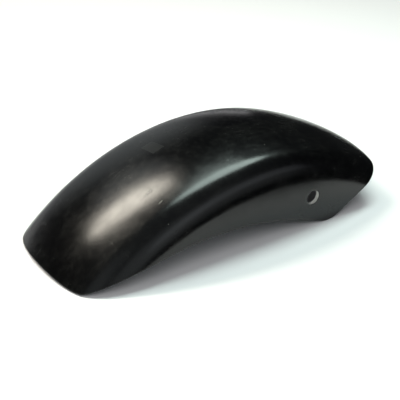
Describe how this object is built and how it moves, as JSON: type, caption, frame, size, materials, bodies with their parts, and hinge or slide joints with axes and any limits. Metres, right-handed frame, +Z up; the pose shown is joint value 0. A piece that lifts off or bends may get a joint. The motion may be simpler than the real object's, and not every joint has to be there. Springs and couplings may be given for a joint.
{
  "type": "motorcycle rear fender",
  "caption": "Short rear fender pressed from steel sheet, a curved shell with a rounded crown and flat flanks that taper away towards the tail.",
  "frame": {"origin": "middle of the foot of the bounding box, on the floor that the fender's lower corners rest on", "axes": "+X towards the front edge, under the saddle; +Y to the left side, across the fender and along the wheel axle; +Z up"},
  "size_m": [0.4542, 0.194, 0.1149],
  "materials": {
    "black_primer": "satin black electrocoat primer"
  },
  "bodies": {
    "root": {"fender_shell": "black_primer"}
  },
  "joints": []
}
